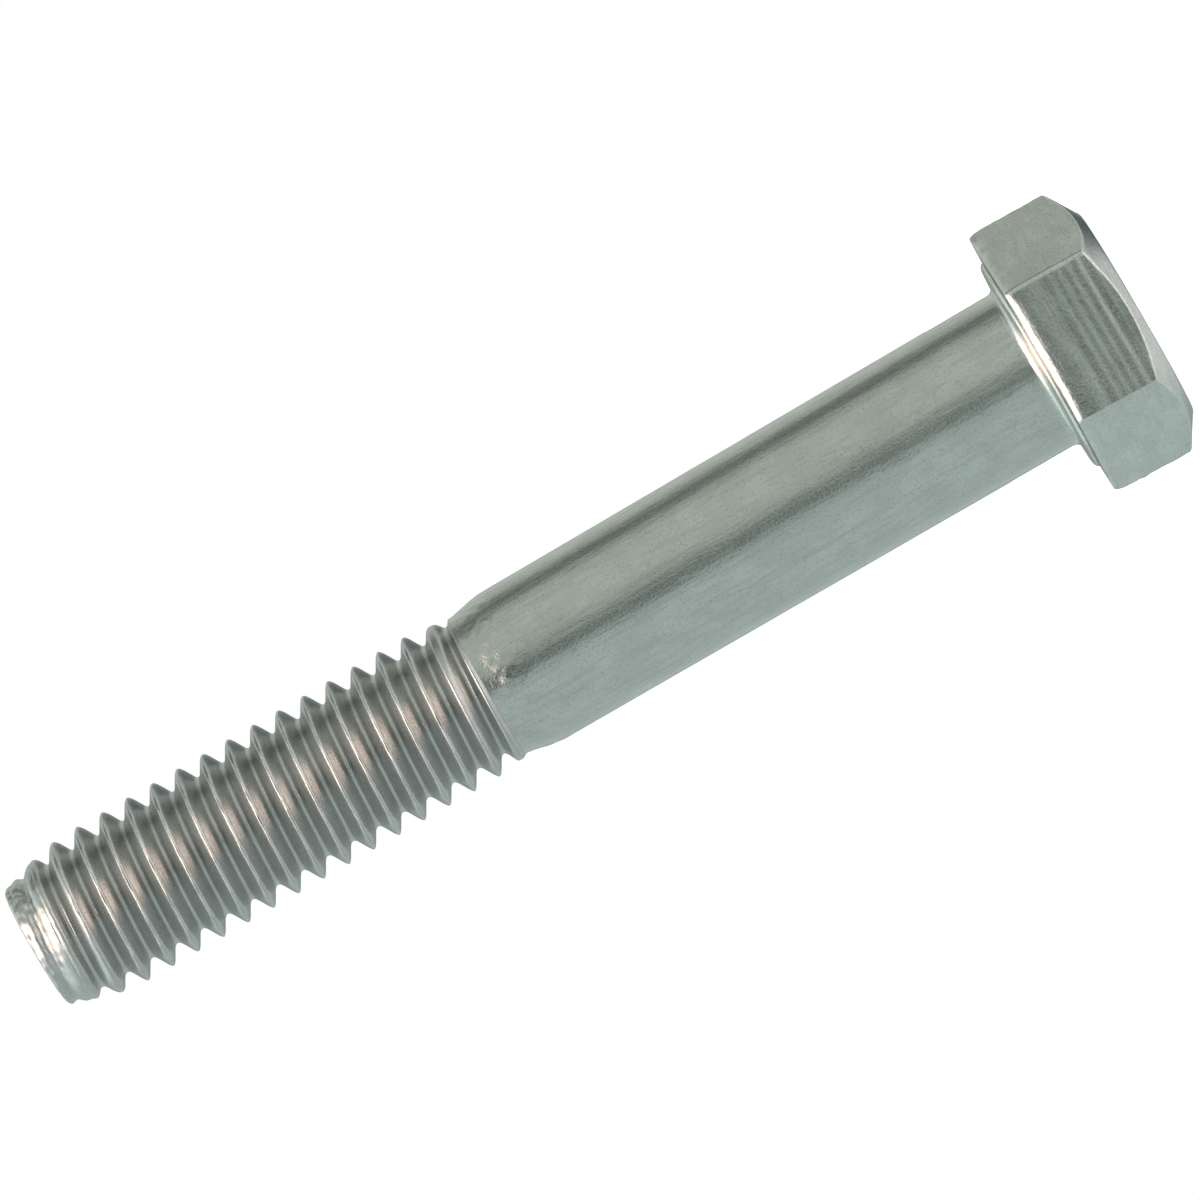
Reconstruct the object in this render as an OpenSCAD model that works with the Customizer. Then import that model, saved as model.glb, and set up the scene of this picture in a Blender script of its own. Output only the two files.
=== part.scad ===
// Hex bolt with a partly threaded shank: 3/8-16 by 2 1/2 inch, left-hand thread.
//
// The bolt's axis is Z, and the origin is the centre of the bearing face, where the head seats.
// The head lies below it, standing on its flat top, and the shank rises to the point.
// The real bolt is a single forging, so each node is one named section of it along the axis,
// closed by flat faces that meet the next section's.

/* [Thread] */
// Diameter over the crests
crest_d = 9.32; // [9.2:0.01:9.5]
// Diameter at the roots
root_d = 7.32; // [7.2:0.01:7.8]
// Threads in an inch
threads_per_inch = 16; // [15:0.5:16.5]
// Which way the thread turns
hand = -1; // [-1:left-hand, 1:right-hand]
// Angle about the axis at which a crest stands level with the tip
start_angle = 257; // [0:1:359]
// Length of thread from the tip, with its runout
thread_l = 28.5; // [22:0.5:40]

/* [Shank] */
// Length from the bearing face to the tip
length = 63.2; // [55:0.1:80]
// Diameter of the plain part
body_d = 9.36; // [9.2:0.01:9.52]
// Diameter of the blank that the thread was rolled on
neck_d = 8.42; // [8.3:0.01:8.6]
// Length over which the plain part narrows to the blank
neck_l = 2.6; // [2.4:0.1:4]
// Radius of the fillet under the head
fillet_r = 0.45; // [0.3:0.05:0.7]

/* [Head] */
// Across the flats
across_flats = 14.13; // [13.9:0.01:14.29]
// Height, with the washer face
head_h = 6.2; // [5.6:0.1:6.6]
// Diameter of the washer face
washer_d = 12.8; // [12.2:0.1:13.4]
// Height of the washer face
washer_h = 0.3; // [0.2:0.05:0.5]
// Diameter of the flat crown inside the chamfer
crown_d = 12.3; // [11.6:0.1:13]
// Angle of the chamfer from the flat crown
chamfer_angle = 31.5; // [28:0.5:35]

/* [Hidden] */
$fn = 96;
steel = [0.62, 0.65, 0.61];

pitch = 25.4 / threads_per_inch;
crest_r = crest_d / 2;
root_r = root_d / 2;
neck_r = neck_d / 2;
fillet_foot_r = body_d / 2 + fillet_r;
flank_angle = 30;

// Planes across the axis at these heights divide the thread into its three nodes.
runout_turns = 1.5;
thread_start_z = length - thread_l;
runout_end_z = thread_start_z + runout_turns * pitch;
point_l = 3.8;
point_z = length - point_l;
point_angle = 16;
tip_r = crest_r - point_l * tan(point_angle);

// The helical ridge: a V standing on the root flat, tall enough to reach past the crests.
ridge_steps = 36;
root_flat_share = 0.18;
root_flat = root_flat_share * pitch;
ridge_r = root_r + (pitch - root_flat) / 2 / tan(flank_angle);
spare_turns = 2;
// The groove gets shallower over its last turn, up to the blank's own surface.
fade_l = pitch;
fade_below_start = 0.35;
fade_z = thread_start_z - fade_below_start * pitch;

function root_at(z) = z < fade_z ? neck_r
    : z > fade_z + fade_l ? root_r
    : neck_r + (root_r - neck_r) * (z - fade_z) / fade_l;

function helix_point(r, step, z) =
    let (a = start_angle + hand * 360 * step / ridge_steps) [r * cos(a), r * sin(a), z];

// One row of three points at each step: the groove's two corners and the ridge's top.
function thread_rows(first, last) = [for (step = [first : last])
    let (z = length - pitch / 2 + pitch * step / ridge_steps, r = root_at(z))
    each [helix_point(r, step, z + root_flat / 2),
          helix_point(ridge_r, step, z + pitch / 2),
          helix_point(r, step, z + pitch - root_flat / 2)]];

// The surface of a helical ridge between two heights, closed by a fan of faces at each end.
// It turns the way of a left-hand thread, and its faces are reversed for a right-hand one.
module helical_body(low_z, high_z) {
    first = floor(((low_z - length) / pitch - spare_turns) * ridge_steps);
    last = ceil(((high_z - length) / pitch + spare_turns) * ridge_steps);
    rows = thread_rows(first, last);
    steps = last - first;
    low_hub = len(rows);
    high_hub = low_hub + 1;
    hubs = [[0, 0, length + pitch * first / ridge_steps],
            [0, 0, length + pitch * last / ridge_steps]];
    flanks = [for (i = [0 : steps - 1], j = [0, 1])
        let (p = 3 * i + j)
        each [[p, p + 1, p + 4], [p, p + 4, p + 3]]];
    groove = [for (i = [0 : steps - ridge_steps - 1])
        let (p = 3 * i + 2, q = 3 * (i + ridge_steps))
        each [[p, q, q + 3], [p, q + 3, p + 3]]];
    low_fan = [for (i = [0 : ridge_steps - 1]) [low_hub, 3 * i, 3 * i + 3]];
    low_step = [[low_hub, 1, 0], [low_hub, 2, 1], [low_hub, 3 * ridge_steps, 2]];
    top = 3 * steps;
    high_fan = [for (i = [0 : ridge_steps - 1])
        let (p = top - 3 * i + 2) [high_hub, p, p - 3]];
    under = 3 * (steps - ridge_steps) + 2;
    high_step = [[high_hub, top + 1, top + 2], [high_hub, top, top + 1], [high_hub, under, top]];
    faces = concat(flanks, groove, low_fan, low_step, high_fan, high_step);
    polyhedron(concat(rows, hubs),
        hand < 0 ? faces : [for (f = faces) [f[0], f[2], f[1]]],
        convexity = 10);
}

// A solid of revolution from its outline, given as [radius, height] points.
module turned(outline) {
    rotate_extrude() polygon(outline);
}

// The hexagon, its corners cut by a wide chamfer round the crown and a small one below.
module hex_head() {
    corner_r = across_flats / sqrt(3);
    outside_r = corner_r + 0.1;
    chamfer_h = (outside_r - crown_d / 2) * tan(chamfer_angle);
    rim_l = 0.35;
    color(steel) intersection() {
        translate([0, 0, -head_h]) cylinder(h = head_h - washer_h, r = corner_r, $fn = 6);
        turned([[0, -head_h], [crown_d / 2, -head_h], [outside_r, -head_h + chamfer_h],
                [outside_r, -washer_h - rim_l], [outside_r - rim_l, -washer_h], [0, -washer_h]]);
    }
}

// The ring that the bolt seats on, round the foot of the fillet.
module washer_face() {
    outer_r = washer_d / 2;
    bevel_h = 0.2;
    bevel_l = 0.4;
    color(steel) turned([[fillet_foot_r, -washer_h], [outer_r, -washer_h], [outer_r, -bevel_h],
                         [outer_r - bevel_l, 0], [fillet_foot_r, 0]]);
}

// The fillet, with the core that fills the washer face's ring.
module underhead_fillet() {
    color(steel) {
        translate([0, 0, -washer_h]) cylinder(h = washer_h, r = fillet_foot_r);
        rotate_extrude() difference() {
            square([fillet_foot_r, fillet_r]);
            translate([fillet_foot_r, fillet_r]) circle(fillet_r);
        }
    }
}

module shank() {
    color(steel) translate([0, 0, fillet_r])
        cylinder(h = thread_start_z - neck_l - fillet_r, d = body_d);
}

// The plain part curves down to the blank's diameter, tangent to the cylinder below it.
module transition_neck() {
    drop = (body_d - neck_d) / 2;
    plain_l = 0.3;
    curve_l = neck_l - plain_l;
    curve_r = (curve_l * curve_l + drop * drop) / (2 * drop);
    color(steel) translate([0, 0, thread_start_z - neck_l]) {
        rotate_extrude() intersection() {
            square([body_d / 2, curve_l]);
            translate([body_d / 2 - curve_r, 0]) circle(curve_r, $fn = 360);
        }
        cylinder(h = neck_l, d = neck_d);
    }
}

module thread_runout() {
    color(steel) intersection() {
        turned([[0, thread_start_z], [neck_r, thread_start_z], [crest_r, runout_end_z],
                [0, runout_end_z]]);
        helical_body(thread_start_z, runout_end_z);
    }
}

module thread() {
    color(steel) intersection() {
        translate([0, 0, runout_end_z]) cylinder(h = point_z - runout_end_z, r = crest_r);
        helical_body(runout_end_z, point_z);
    }
}

module point() {
    color(steel) intersection() {
        turned([[0, point_z], [crest_r, point_z], [tip_r, length], [0, length]]);
        helical_body(point_z, length);
    }
}

hex_head();
washer_face();
underhead_fillet();
shank();
transition_neck();
thread_runout();
thread();
point();
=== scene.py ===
"""The looks of the hex bolt.

One detailed closed mesh for each CAD node, steel materials, a studio and the camera.
Lengths in the helper functions are millimetres, and make_piece turns them into metres.
"""

import math

import bmesh
import bpy
import numpy as np
from mathutils import Matrix, Vector


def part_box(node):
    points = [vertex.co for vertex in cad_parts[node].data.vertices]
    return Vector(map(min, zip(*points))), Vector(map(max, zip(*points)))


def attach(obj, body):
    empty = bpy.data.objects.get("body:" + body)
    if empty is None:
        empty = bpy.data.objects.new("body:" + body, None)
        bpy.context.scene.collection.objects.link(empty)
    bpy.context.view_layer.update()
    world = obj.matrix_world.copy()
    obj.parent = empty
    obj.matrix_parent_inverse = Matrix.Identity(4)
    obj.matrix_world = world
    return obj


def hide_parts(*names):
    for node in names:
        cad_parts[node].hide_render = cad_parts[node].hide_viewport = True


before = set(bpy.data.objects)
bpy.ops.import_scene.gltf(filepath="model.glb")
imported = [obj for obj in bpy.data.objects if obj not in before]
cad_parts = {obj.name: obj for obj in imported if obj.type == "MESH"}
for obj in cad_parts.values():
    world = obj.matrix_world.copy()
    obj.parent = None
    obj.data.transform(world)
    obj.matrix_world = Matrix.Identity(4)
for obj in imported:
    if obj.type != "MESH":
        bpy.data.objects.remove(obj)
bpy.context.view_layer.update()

MM = 0.001
TAU = 2 * math.pi


def node_span(name):
    """Lowest and highest height of a CAD node, and its radius."""
    low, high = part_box(name)
    return low.z / MM, high.z / MM, high.x / MM


# Heights at which one section of the bolt meets the next.
HEAD_TOP, UNDERSIDE, _ = node_span("hex_head")
FILLET_TOP, NECK_START, _ = node_span("shank")
FILLET_FOOT_R = node_span("underhead_fillet")[2]
WASHER_R = node_span("washer_face")[2]
THREAD_START = node_span("thread_runout")[0]
FULL_THREAD, POINT_START, CREST_R = node_span("thread")
TIP = node_span("point")[1]

COLUMNS = 240  # round the turned pieces
THREAD_COLUMNS = 200  # round the threaded ones

# The shank and its neck.
BODY_R = 4.738  # under the head
BODY_TAPER = 0.004  # lost in each mm towards the neck
BODY_WAVE = 0.004
NECK_CURVE_R = 6.7
NECK_BLEND = 0.26
NECK_DENT = 0.014

# The thread: a left-hand 60 degree V, 16 to the inch, rolled on a thinner blank.
PITCH = 25.4 / 16
HAND = -1
START_ANGLE = math.radians(257)
ROOT_R = 3.65
ROOT_HALF = 0.14
ROOT_BLEND = 0.22
FLANK_SLOPE = math.tan(math.radians(60))
BLANK_R = 4.21
LOW_CREST_R = 4.40  # of the first turn of the runout
CREST_SPARE = 0.045  # taken off again where the crest is rounded
CREST_WAVE = 0.006
FULL_CREST_Z = THREAD_START + 1.9

# The rolled seam along the crests, and the point.
SEAM_HALF = 0.035
SEAM_DEPTH = 0.05
POINT_R = 3.6
POINT_SLOPE = 0.34
POINT_FOOT_Z = TIP - 0.2
POINT_BLEND = 0.5
POINT_WEAR = 0.028
RIM_WEAR = 0.030
RIM_ROUND = 0.14

# The head.
APOTHEM = 7.065
CORNER_ROUND = 0.37
CROWN_R = 6.15
CHAMFER_SLOPE = math.tan(math.radians(31.5))
CHAMFER_OFFSET = 0.22  # of the chamfer's cone towards the front
CHAMFER_BLEND = 0.16
CROWN_ROUND = 0.4
HEAD_STEP = 0.06  # between rings down the flats
LOWER_EDGE_ROUND = 0.95
HEAD_LEAN = 0.025  # sideways for each mm of height

# The washer face.
WASHER_LIP = 0.02
WASHER_LIP_H = 0.08
WASHER_BEVEL = 0.5
WASHER_BEVEL_H = 0.25


def smin(a, b, k):
    """The smaller of two lengths, with the corner between them rounded over k."""
    h = np.maximum(k - np.abs(a - b), 0) / k
    return np.minimum(a, b) - h * h * k / 4


def smax(a, b, k):
    return -smin(-a, -b, k)


def ramp(x, low, high):
    """0 below low, 1 above high, smooth between."""
    t = np.clip((x - low) / (high - low), 0, 1)
    return t * t * (3 - 2 * t)


def waves(seed, count, around, along):
    """A smooth random function of angle and height that closes on itself, about -1 to 1.

    around is the most waves in a turn, and along the most in a mm.
    """
    rng = np.random.RandomState(seed)
    turns = rng.randint(-around, around + 1, count)
    freqs = rng.uniform(-along, along, count)
    phases = rng.uniform(0, TAU, count)
    gains = rng.uniform(0.4, 1, count)
    gains *= 1 / math.sqrt(0.5 * float((gains**2).sum())) / 2

    def at(angle, z):
        total = 0
        for n, f, p, g in zip(turns, freqs, phases, gains):
            total = total + g * np.sin(n * angle + TAU * f * z + p)
        return total

    return at


# Unevenness of the shank, seam, crests, neck and point, and of the head's flats and lower edge.
shank_waves = waves(3, 14, 5, 0.25)
seam_waves = waves(5, 24, 26, 1.5)
crest_waves = waves(8, 16, 9, 0.4)
neck_waves = waves(14, 40, 40, 1.3)
wear_waves = waves(11, 44, 40, 1.8)
mark_waves = waves(21, 18, 4, 0.9)
line_waves = waves(24, 16, 1, 1.9)
edge_waves = waves(27, 30, 70, 0.1)


# ---------------------------------------------------------------- shapes


def body_r(angle, z):
    """The plain shank, a little thicker towards the head, and its narrowing to the blank."""
    straight = BODY_R - BODY_TAPER * z + BODY_WAVE * shank_waves(angle, z)
    dented = ramp(z, NECK_START - 1.0, NECK_START + 1.2)
    straight = straight + NECK_DENT * dented * neck_waves(angle, z)
    past = np.maximum(z - NECK_START, 0)
    drop = NECK_CURVE_R - np.sqrt(np.maximum(NECK_CURVE_R**2 - past**2, 0))
    return smax(straight - drop, BLANK_R + 0 * angle, NECK_BLEND)


def thread_r(angle, z):
    """Radius of the thread's surface, with the runout towards the shank and the bevelled point."""
    turn = (z - TIP) / PITCH - HAND * (angle - START_ANGLE) / TAU
    from_crest = np.abs(turn - np.round(turn)) * PITCH
    from_root = PITCH / 2 - from_crest

    first_rise = ramp(z, THREAD_START - 0.1, THREAD_START + 0.3)
    last_rise = ramp(z, THREAD_START + 1.2, FULL_CREST_Z)
    crest = BLANK_R + (LOW_CREST_R - BLANK_R) * first_rise
    crest = crest + (CREST_R + CREST_SPARE - LOW_CREST_R) * last_rise
    crest = smin(crest, POINT_R + POINT_SLOPE * (POINT_FOOT_Z - z), POINT_BLEND)
    root = BLANK_R - (BLANK_R - ROOT_R) * ramp(z, THREAD_START - 0.55, THREAD_START + 1.15)

    flank = root + (from_root - ROOT_HALF) * FLANK_SLOPE
    r = smax(root, flank, ROOT_BLEND)
    crest_round = 0.06 + 0.34 * ramp(z, THREAD_START - 0.1, FULL_CREST_Z)
    r = smin(r, crest + CREST_WAVE * crest_waves(angle, z), crest_round)
    seam = np.exp(-((from_crest / SEAM_HALF) ** 2)) * (0.5 + 0.5 * seam_waves(angle, z))
    r = r - SEAM_DEPTH * np.maximum(seam, 0) * ramp(z, THREAD_START + 1.0, FULL_CREST_Z)
    worn = POINT_WEAR * ramp(z, TIP - 3.0, TIP - 0.6) + RIM_WEAR * ramp(z, TIP - 0.9, TIP - 0.1)
    return r + worn * wear_waves(angle, z)


def tip_r(angle, z):
    """The thread with the small rounding of the end face's rim."""
    up = np.clip(z - (TIP - RIM_ROUND), 0, RIM_ROUND)
    inset = RIM_ROUND - np.sqrt(np.maximum(RIM_ROUND**2 - up**2, 0))
    return thread_r(angle, np.minimum(z, TIP - 0.02)) - inset


def hexagon_r(angle):
    """The hexagon's outline, a corner on +X, its corners rounded."""
    off = np.abs((angle + TAU / 12) % (TAU / 6) - TAU / 12)
    centre = (APOTHEM - CORNER_ROUND) / math.cos(TAU / 12)
    arc_end = math.atan2(CORNER_ROUND * 0.5, centre + CORNER_ROUND * math.cos(TAU / 12))
    arc = centre * np.cos(off) + np.sqrt(
        np.maximum(CORNER_ROUND**2 - (centre * np.sin(off)) ** 2, 0)
    )
    return np.where(off < arc_end, arc, APOTHEM / np.cos(TAU / 12 - off))


# ---------------------------------------------------------------- meshes


def even_angles(columns):
    return np.arange(columns) * TAU / columns


def lathe(angles, rings, closed=False):
    """Vertices and faces of rings of points, joined in turn, and capped or closed on itself."""
    columns = len(angles)
    points = []
    for r, z in rings:
        r = r + 0 * angles
        points.append(np.stack([r * np.cos(angles), r * np.sin(angles), z + 0 * angles], 1))
    faces = []
    rows = len(points)
    for i in range(rows if closed else rows - 1):
        a, b = i * columns, (i + 1) % rows * columns
        for k in range(columns):
            j = (k + 1) % columns
            faces.append((a + k, a + j, b + j, b + k))
    verts = np.concatenate(points)
    if not closed:
        hub = len(verts)
        last = (rows - 1) * columns
        low = [0, 0, float(np.mean(points[0][:, 2]))]
        high = [0, 0, float(np.mean(points[-1][:, 2]))]
        verts = np.concatenate([verts, [low, high]])
        for k in range(columns):
            j = (k + 1) % columns
            faces.append((hub, j, k))
            faces.append((hub + 1, last + k, last + j))
    return verts, faces


def helical(low_z, high_z, radius):
    """A surface whose rows run along the helix, cut and capped by two planes across the axis."""
    columns = THREAD_COLUMNS
    # Distances from the crest, closest at the crest and at the root.
    half = [0, 0.02, 0.045, 0.075, 0.105, 0.14, 0.18, 0.24, 0.33, 0.43, 0.51, 0.565,
            0.61, 0.65, 0.69, 0.73, 0.765]
    offsets = np.array(half + [PITCH / 2] + [PITCH - h for h in half[:0:-1]]) / PITCH
    per_turn = len(offsets)
    first = math.floor((low_z - TIP) / PITCH) - 3
    last = math.ceil((high_z - TIP) / PITCH) + 3
    turns = (np.arange(first, last)[:, None] + offsets[None, :]).ravel()
    angles = even_angles(columns)
    z = TIP + PITCH * (turns[:, None] + HAND * (angles[None, :] - START_ANGLE) / TAU)
    snap = 0.006  # rows this near a cutting plane join it
    below, above = z < low_z + snap, z > high_z - snap
    ids = np.zeros(z.shape, int)
    inside = ~(below | above)
    ids[inside] = np.arange(inside.sum()) + 2 * columns
    column = np.broadcast_to(np.arange(columns), z.shape)
    ids[below] = column[below]
    ids[above] = column[above] + columns
    all_angles = np.concatenate([angles, angles, np.broadcast_to(angles, z.shape)[inside]])
    all_z = np.concatenate([np.full(columns, low_z), np.full(columns, high_z), z[inside]])
    r = radius(all_angles, all_z)
    verts = np.stack([r * np.cos(all_angles), r * np.sin(all_angles), all_z], 1)

    rows = len(turns)
    faces = []
    for k in range(columns):
        wrap = k == columns - 1
        shift = HAND * per_turn if wrap else 0
        j = 0 if wrap else k + 1
        for i in range(rows - 1):
            if not (0 <= i + shift and i + 1 + shift < rows):
                continue
            quad = (ids[i, k], ids[i + shift, j], ids[i + 1 + shift, j], ids[i + 1, k])
            face = [v for n, v in enumerate(quad) if v != quad[n - 1]]
            if len(face) > 2:
                faces.append(tuple(int(v) for v in face))
    hub = len(verts)
    verts = np.concatenate([verts, [[0, 0, low_z], [0, 0, high_z]]])
    for k in range(columns):
        j = (k + 1) % columns
        faces.append((hub, j, k))
        faces.append((hub + 1, columns + k, columns + j))
    return verts, faces


def make_piece(name, node, shape, material, cap_z):
    """A mesh object that stands for a CAD node. Faces on the cap heights are shaded flat."""
    verts, faces = shape
    mesh = bpy.data.meshes.new(name)
    mesh.from_pydata((np.asarray(verts) * MM).tolist(), [], faces)
    shell = bmesh.new()
    shell.from_mesh(mesh)
    shell.normal_update()
    for face in shell.faces:
        height = face.calc_center_median().z / MM
        level = abs(face.normal.z) > 0.999
        face.smooth = not (level and any(abs(height - c) < 1e-3 for c in cap_z))
    for edge in shell.edges:
        edge.smooth = edge.link_faces[0].smooth == edge.link_faces[1].smooth
    shell.to_mesh(mesh)
    shell.free()
    piece = bpy.data.objects.new(name, mesh)
    bpy.context.scene.collection.objects.link(piece)
    mesh.materials.append(material)
    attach(piece, "root")
    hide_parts(node)
    return piece


# ---------------------------------------------------------------- materials


class Nodes:
    """Short calls for building a node tree."""

    def __init__(self, tree):
        self.tree = tree
        tree.nodes.clear()

    def add(self, kind, **settings):
        node = self.tree.nodes.new(kind)
        for key, value in settings.items():
            setattr(node, key, value)
        return node

    def put(self, socket, value):
        if isinstance(value, bpy.types.NodeSocket):
            self.tree.links.new(value, socket)
        elif value is not None:
            socket.default_value = value

    def math(self, operation, a, b=None, c=None):
        node = self.add("ShaderNodeMath", operation=operation)
        for socket, value in zip(node.inputs, (a, b, c)):
            self.put(socket, value)
        return node.outputs[0]

    def mapped(self, value, low, high):
        """0 at low, 1 at high, smooth between."""
        node = self.add("ShaderNodeMapRange", interpolation_type="SMOOTHSTEP")
        for socket, v in zip(node.inputs, (value, low, high)):
            self.put(socket, v)
        return node.outputs[0]

    def mix(self, factor, a, b):
        node = self.add("ShaderNodeMix", data_type="RGBA")
        self.put(node.inputs[0], factor)
        self.put(node.inputs[6], a)
        self.put(node.inputs[7], b)
        return node.outputs[2]

    def noise(self, vector, scale, detail, roughness):
        node = self.add("ShaderNodeTexNoise")
        self.put(node.inputs["Vector"], vector)
        self.put(node.inputs["Scale"], scale)
        self.put(node.inputs["Detail"], detail)
        self.put(node.inputs["Roughness"], roughness)
        return node.outputs[0]


PIT_COLOUR = [0.32, 0.33, 0.31, 1]
BUMP_HEIGHT = 0.03 * MM


def steel(
    name, colour, rough, grain, streaks_per_mm, streak_tone, blotch, around=True, groove_rough=0.0
):
    """Stainless steel: cloudy colour, streaks around or along the axis, pits, grain and bump.

    blotch is how much the clouds change the roughness, and groove_rough is added in the thread.
    """
    material = bpy.data.materials.new(name)
    material.use_nodes = True
    n = Nodes(material.node_tree)
    coords = n.add("ShaderNodeTexCoord").outputs["Object"]
    scaled = n.add("ShaderNodeVectorMath", operation="SCALE")
    n.put(scaled.inputs[0], coords)
    n.put(scaled.inputs["Scale"], 1 / MM)
    place = scaled.outputs[0]

    split = n.add("ShaderNodeSeparateXYZ")
    n.put(split.inputs[0], place)
    x, y, z = split.outputs
    join = n.add("ShaderNodeCombineXYZ")
    radius = n.math("SQRT", n.math("ADD", n.math("MULTIPLY", x, x), n.math("MULTIPLY", y, y)))
    across = 0.35 if around else streaks_per_mm
    n.put(join.inputs[0], n.math("MULTIPLY", x, across))
    n.put(join.inputs[1], n.math("MULTIPLY", y, across))
    n.put(join.inputs[2], n.math("MULTIPLY", z, streaks_per_mm if around else 0.3))
    streaks = n.noise(join.outputs[0], 1.0, 5.0, 0.65)
    clouds = n.noise(place, 0.55, 4.0, 0.6)
    specks = n.noise(place, 7.0, 3.0, 0.6)

    dark = [c * 0.90 for c in colour] + [1]
    tint = n.mix(n.mapped(clouds, 0.35, 0.65), dark, [*colour, 1])
    tint = n.mix(n.mapped(streaks, 0.45, 0.65), tint, [c * streak_tone for c in colour] + [1])
    tint = n.mix(n.math("MULTIPLY", n.mapped(specks, 0.52, 0.70), 0.5), tint, PIT_COLOUR)

    spread = n.math("MULTIPLY_ADD", n.math("SUBTRACT", streaks, 0.5), 0.22, rough)
    spread = n.math("MULTIPLY_ADD", n.math("SUBTRACT", clouds, 0.5), blotch, spread)
    if groove_rough:
        in_groove = n.mapped(radius, CREST_R - 0.02, CREST_R - 0.25)
        spread = n.math("MULTIPLY_ADD", in_groove, groove_rough, spread)

    height = n.math("MULTIPLY_ADD", streaks, 0.7, n.math("MULTIPLY", specks, grain))
    bump = n.add("ShaderNodeBump")
    n.put(bump.inputs["Strength"], 1.0)
    n.put(bump.inputs["Distance"], BUMP_HEIGHT)
    n.put(bump.inputs["Height"], height)

    shader = n.add("ShaderNodeBsdfPrincipled")
    n.put(shader.inputs["Base Color"], tint)
    n.put(shader.inputs["Metallic"], 1.0)
    n.put(shader.inputs["Roughness"], spread)
    n.put(shader.inputs["Normal"], bump.outputs[0])
    out = n.add("ShaderNodeOutputMaterial")
    n.put(out.inputs[0], shader.outputs[0])
    return material


FORGED = steel("forged_steel", (0.63, 0.645, 0.615), 0.20, 0.45, 2.5, 0.87, 0.10)
DRAWN = steel("drawn_steel", (0.57, 0.58, 0.55), 0.13, 0.45, 3.0, 0.86, 0.05, around=False)
ROLLED = steel("rolled_steel", (0.53, 0.53, 0.52), 0.20, 0.3, 4.0, 0.88, 0.08,
               groove_rough=0.08)


# ---------------------------------------------------------------- pieces


def head_shape():
    """Rings from the crown to the underside, each the smaller of the hexagon and the chamfer."""
    fine = [0, 0.3, 0.6, 0.9, 1.2, 1.6, 2.2, 3, 4, 5.5, 7.5]
    sector = fine + list(np.arange(9.5, 31, 2))
    sector = sorted(set(sector + [60 - a for a in sector if a > 0]))
    angles = np.radians(np.concatenate([np.array(sector[:-1]) + 60 * s for s in range(6)]))
    outline = hexagon_r(angles)
    along = (angles + TAU / 12) % (TAU / 6) - TAU / 12
    side = np.floor(angles / (TAU / 6))

    toward_front = np.sin(angles) * -CHAMFER_OFFSET
    slant = math.atan(CHAMFER_SLOPE)
    start = CROWN_R - CROWN_ROUND * math.tan(slant / 2)
    limits = []  # heights, and the radius that the chamfer leaves there
    for t in np.linspace(0, slant, 7):
        z = HEAD_TOP + CROWN_ROUND * (1 - math.cos(t))
        limits.append((z, start + CROWN_ROUND * math.sin(t)))
    for rho in np.arange(limits[-1][1] + 0.08, 8.6, 0.08):
        limits.append((HEAD_TOP + (rho - CROWN_R) * CHAMFER_SLOPE, rho))
    roll_over = 0.26 + 0.16 * ramp(np.abs(along), 0, math.radians(9))
    for z in np.arange(limits[-1][0] + HEAD_STEP, UNDERSIDE - LOWER_EDGE_ROUND, HEAD_STEP):
        limits.append((z, 99.0))
    rings = []
    for z, rho in limits:
        cone = toward_front + np.sqrt(rho**2 - CHAMFER_OFFSET**2 + toward_front**2)
        rings.append((smin(outline - face_marks(angles, z, side), cone, CHAMFER_BLEND), z))
    for t in np.linspace(0, TAU / 4, 17):
        z = UNDERSIDE - LOWER_EDGE_ROUND * (1 - math.sin(t))
        inset = roll_over * (1 - math.cos(t)) * (1 + 0.12 * edge_waves(angles, 0))
        rings.append((outline - inset - face_marks(angles, z, side) * math.cos(t), z))
    verts, faces = lathe(angles, rings)
    verts[:, 0] += HEAD_LEAN * verts[:, 2]
    return verts, faces


def face_marks(angles, z, side):
    """Shallow ripples across each flat, left by forging and trimming."""
    place = 0.35 * np.sin(6 * angles) + side * 1.7
    depth = 0.022 - 0.014 * ramp(z, UNDERSIDE - 1.7, UNDERSIDE - 1.0)
    return 0.012 * mark_waves(place, z + 3 * side) + depth * line_waves(place, z + 3 * side)


def washer_shape():
    inner = FILLET_FOOT_R
    rings = [(inner, UNDERSIDE), (WASHER_R - WASHER_LIP, UNDERSIDE),
             (WASHER_R, UNDERSIDE + WASHER_LIP_H)]
    for t in np.linspace(0, TAU / 4, 7):
        r = WASHER_R - WASHER_BEVEL * (1 - math.cos(t))
        rings.append((r, -WASHER_BEVEL_H * (1 - math.sin(t))))
    rings.append((inner, 0.0))
    return lathe(even_angles(COLUMNS), rings, closed=True)


def fillet_shape():
    angles = even_angles(COLUMNS)
    rings = [(FILLET_FOOT_R, UNDERSIDE), (FILLET_FOOT_R, UNDERSIDE / 2), (FILLET_FOOT_R, 0.0)]
    top = body_r(angles, FILLET_TOP)
    for t in np.linspace(0, TAU / 4, 12)[1:]:
        z = FILLET_TOP * (1 - math.cos(t))
        rings.append((FILLET_FOOT_R + (top - FILLET_FOOT_R) * math.sin(t), z))
    return lathe(angles, rings)


def turned_shape(low_z, high_z, radius, step):
    angles = even_angles(COLUMNS)
    heights = np.linspace(low_z, high_z, max(2, round((high_z - low_z) / step) + 1))
    return lathe(angles, [(radius(angles, z), z) for z in heights])


def neck_r(angle, z):
    """The neck, with the first faint end of the thread's groove and ridge on it."""
    ridge = thread_r(angle, z) - BLANK_R
    return body_r(angle, z) + ridge * ramp(z, THREAD_START - 1.0, THREAD_START - 0.15)


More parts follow.
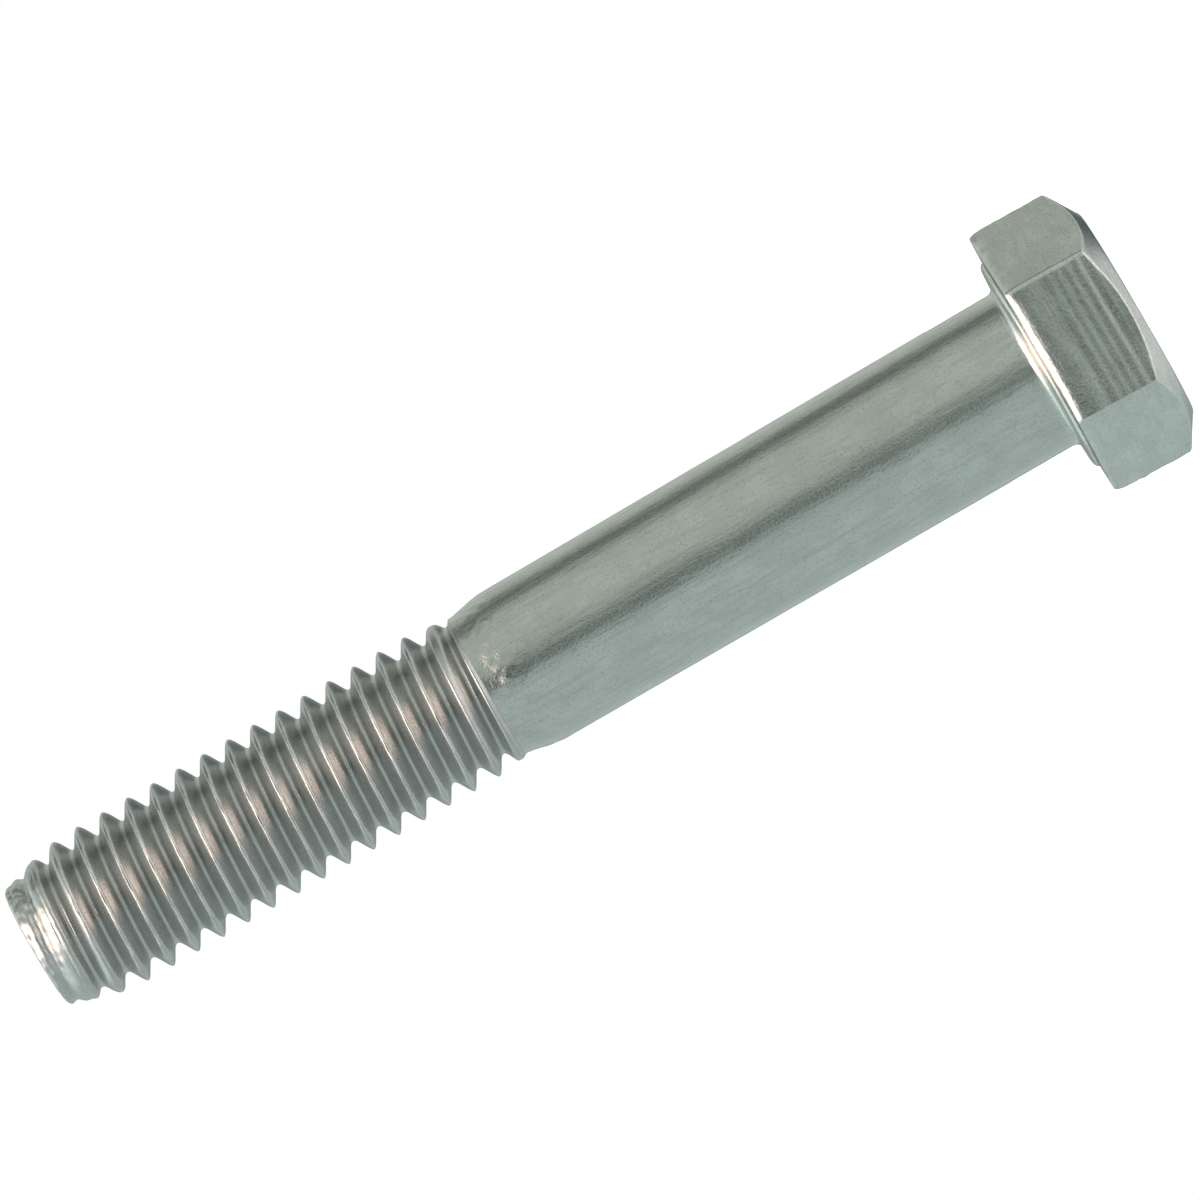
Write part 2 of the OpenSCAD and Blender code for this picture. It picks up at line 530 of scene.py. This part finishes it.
make_piece("hex_head_forging", "hex_head", head_shape(), FORGED,
           cap_z=(HEAD_TOP, UNDERSIDE))
make_piece("washer_face_ring", "washer_face", washer_shape(), FORGED,
           cap_z=(0.0, UNDERSIDE))
make_piece("underhead_fillet_turned", "underhead_fillet", fillet_shape(), FORGED,
           cap_z=(UNDERSIDE, FILLET_TOP))
make_piece("shank_drawn", "shank", turned_shape(FILLET_TOP, NECK_START, body_r, 0.25), DRAWN,
           cap_z=(FILLET_TOP, NECK_START))
make_piece("transition_neck_drawn", "transition_neck",
           turned_shape(NECK_START, THREAD_START, neck_r, 0.05), DRAWN,
           cap_z=(NECK_START, THREAD_START))
make_piece("thread_runout_rolled", "thread_runout",
           helical(THREAD_START, FULL_THREAD, thread_r), ROLLED,
           cap_z=(THREAD_START, FULL_THREAD))
make_piece("thread_rolled", "thread", helical(FULL_THREAD, POINT_START, thread_r), ROLLED,
           cap_z=(FULL_THREAD, POINT_START))
make_piece("point_rolled", "point", helical(POINT_START, TIP, tip_r), ROLLED,
           cap_z=(POINT_START, TIP))


# ---------------------------------------------------------------- floor, light and camera


def make_floor():
    """A pale sheet under the bolt's head, with a little light of its own."""
    half = 0.7  # metres
    mesh = bpy.data.meshes.new("floor")
    z = HEAD_TOP * MM
    corners = [(-half, -half, z), (half, -half, z), (half, half, z), (-half, half, z)]
    mesh.from_pydata(corners, [], [(0, 1, 2, 3)])
    floor = bpy.data.objects.new("floor", mesh)
    bpy.context.scene.collection.objects.link(floor)
    material = bpy.data.materials.new("floor")
    material.use_nodes = True
    n = Nodes(material.node_tree)
    shader = n.add("ShaderNodeBsdfPrincipled")
    n.put(shader.inputs["Base Color"], [0.93, 0.93, 0.92, 1])
    n.put(shader.inputs["Roughness"], 0.9)
    n.put(shader.inputs["Emission Color"], [1, 1, 1, 1])
    n.put(shader.inputs["Emission Strength"], 0.60)
    n.put(n.add("ShaderNodeOutputMaterial").inputs[0], shader.outputs[0])
    mesh.materials.append(material)
    floor.visible_glossy = False
    floor.visible_shadow = False


def make_world():
    """A white room to look at, and a grey one with screens and softboxes to be lit by.

    Directions are an azimuth, 0 on the photo's side and 90 on +X, and an elevation, in degrees.
    """
    world = bpy.data.worlds.new("studio")
    bpy.context.scene.world = world
    world.use_nodes = True
    n = Nodes(world.node_tree)
    direction = n.add("ShaderNodeTexCoord").outputs["Generated"]
    split = n.add("ShaderNodeSeparateXYZ")
    n.put(split.inputs[0], direction)
    x, y, up = split.outputs
    flat = n.math("SQRT", n.math("ADD", n.math("MULTIPLY", x, x), n.math("MULTIPLY", y, y)))
    side = n.math("DIVIDE", x, n.math("MAXIMUM", flat, 1e-4))
    front = n.math("DIVIDE", y, n.math("MAXIMUM", flat, 1e-4))

    def sine(degrees):
        return math.sin(math.radians(degrees))

    def screen(strength, azimuth, inner, outer, low, high, fade=14):
        """An upright strip, whole within the inner half width and gone beyond the outer one."""
        a = math.radians(azimuth)
        facing = n.math("ADD", n.math("MULTIPLY", side, math.sin(a)),
                        n.math("MULTIPLY", front, -math.cos(a)))
        off = n.math("ABSOLUTE", n.math("ADD", n.math("MULTIPLY", side, math.cos(a)),
                                        n.math("MULTIPLY", front, math.sin(a))))
        near = n.mapped(off, sine(outer), sine(inner))
        mask = n.math("MULTIPLY", near, n.mapped(facing, 0, 0.3))
        mask = n.math("MULTIPLY", mask, n.mapped(up, sine(low - fade), sine(low + fade)))
        mask = n.math("MULTIPLY", mask, n.mapped(up, sine(high + fade), sine(high - fade)))
        return n.math("MULTIPLY", mask, strength)

    def softbox(azimuth, elevation, half_width, half_height, fade):
        """A rectangular patch with soft edges, its upper and lower sides level."""
        a, e = math.radians(azimuth), math.radians(elevation)
        aim = Vector((math.sin(a) * math.cos(e), -math.cos(a) * math.cos(e), math.sin(e)))
        across = Vector((math.cos(a), math.sin(a), 0))
        mask = None
        for axis, half in ((across, half_width), (across.cross(aim), half_height), (aim, None)):
            dot = n.add("ShaderNodeVectorMath", operation="DOT_PRODUCT")
            n.put(dot.inputs[0], direction)
            n.put(dot.inputs[1], axis)
            value = dot.outputs["Value"]
            if half is None:
                part = n.mapped(value, 0.0, 0.2)
            else:
                part = n.mapped(n.math("ABSOLUTE", value), sine(half + fade), sine(half - fade))
            mask = part if mask is None else n.math("MULTIPLY", mask, part)
        return mask

    left_wall, right_wall = [0.57, 0.67, 0.66, 1], [0.63, 0.69, 0.63, 1]
    ceiling, ground = [1.0, 1.15, 1.15, 1], [0.85, 0.87, 0.88, 1]
    shade, green_shade = [0.02, 0.03, 0.03, 1], [0.02, 0.06, 0.06, 1]
    light = n.mix(n.mapped(side, -0.6, 0.6), left_wall, right_wall)
    light = n.mix(n.mapped(up, 0.50, 0.80), light, ceiling)
    light = n.mix(n.mapped(up, -0.50, -0.80), light, ground)
    # The screens: a wide one and a narrow one in front, two at the side and one behind.
    light = n.mix(screen(0.27, 0, 12, 28, -30, 36), light, green_shade)
    light = n.mix(screen(1.0, -3, 3.5, 9, -2, 28), light, shade)
    light = n.mix(screen(0.62, 104, 0, 30, -42, 42), light, shade)
    light = n.mix(screen(0.60, 105, 1, 8, -42, 42), light, shade)
    light = n.mix(screen(0.50, 180, 6, 20, -42, 42), light, shade)
    # A dark patch behind, then the warm softboxes: two overhead and one below.
    light = n.mix(softbox(164, -29, 11, 16, 6), light, [0.10, 0.13, 0.14, 1])
    light = n.mix(softbox(18, 49, 21, 12, 7), light, [4.8, 3.95, 3.5, 1])
    light = n.mix(softbox(22, 70, 24, 16, 9), light, [3.5, 2.8, 2.4, 1])
    light = n.mix(softbox(26, -60, 24, 24, 10), light, [1.45, 1.4, 1.3, 1])
    seen = n.add("ShaderNodeLightPath").outputs["Is Camera Ray"]
    back = n.add("ShaderNodeBackground")
    n.put(back.inputs[0], n.mix(seen, light, [1, 1, 1, 1]))
    n.put(n.add("ShaderNodeOutputWorld").inputs[0], back.outputs[0])


def make_camera():
    """A long lens squarely on the bolt's side, turned so that the head is up on the right."""
    camera = bpy.data.objects.new("camera", bpy.data.cameras.new("camera"))
    bpy.context.scene.collection.objects.link(camera)
    bpy.context.scene.camera = camera
    camera.data.sensor_width = 36
    camera.data.lens = 334.5
    eye = Vector((-19.2, -608.7, 13.35)) * MM
    target = Vector((0.98, 0, 27.0)) * MM
    lean = math.radians(30.12)  # of the picture's upright, from +X towards the head
    back = (eye - target).normalized()
    up = Vector((math.cos(lean), 0, -math.sin(lean)))
    right = up.cross(back).normalized()
    up = back.cross(right)
    turn = Matrix((right, up, back)).transposed().to_4x4()
    camera.matrix_world = Matrix.Translation(eye) @ turn
    camera.data.clip_start, camera.data.clip_end = 0.01, 10


make_floor()
make_world()
make_camera()
bpy.context.scene.view_settings.view_transform = "Standard"
